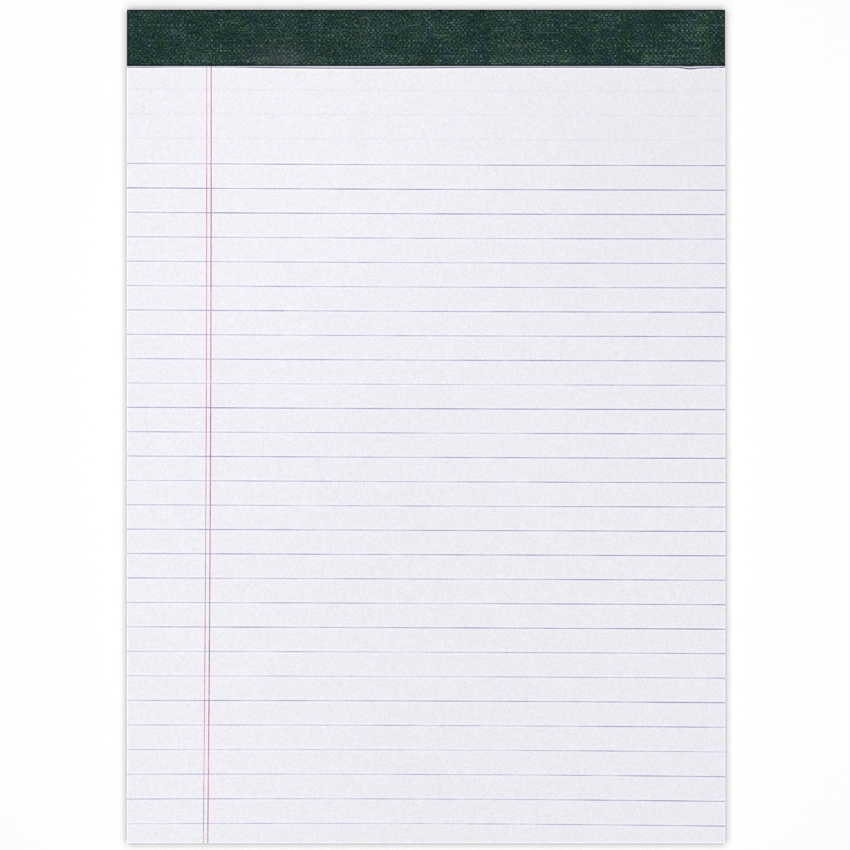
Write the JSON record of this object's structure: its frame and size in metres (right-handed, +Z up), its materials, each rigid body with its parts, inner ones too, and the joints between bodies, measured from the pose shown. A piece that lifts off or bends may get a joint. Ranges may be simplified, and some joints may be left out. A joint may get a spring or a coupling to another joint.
{
  "type": "legal pad",
  "caption": "Top-bound writing pad of wide-ruled white sheets with a margin rule, a perforated stub, a dark green cloth tape over the head and a chipboard back.",
  "frame": {"origin": "centre of the footprint at the lowest surface, the underside of the tape's back leg", "axes": "+X to the right across the lines, +Y towards the taped head, +Z up out of the written side"},
  "size_m": [0.2158, 0.3006, 0.0057],
  "materials": {
    "paper": "matte",
    "chipboard": "matte",
    "binding_cloth": "satin",
    "stitching_wire": "satin",
    "rule_ink": "matte",
    "margin_ink": "matte"
  },
  "bodies": {
    "root": {"paper_block": "paper", "backing_board": "chipboard", "binding_tape": "binding_cloth", "staples": "stitching_wire", "blue_rules": "rule_ink", "margin_rules": "margin_ink"}
  },
  "joints": []
}
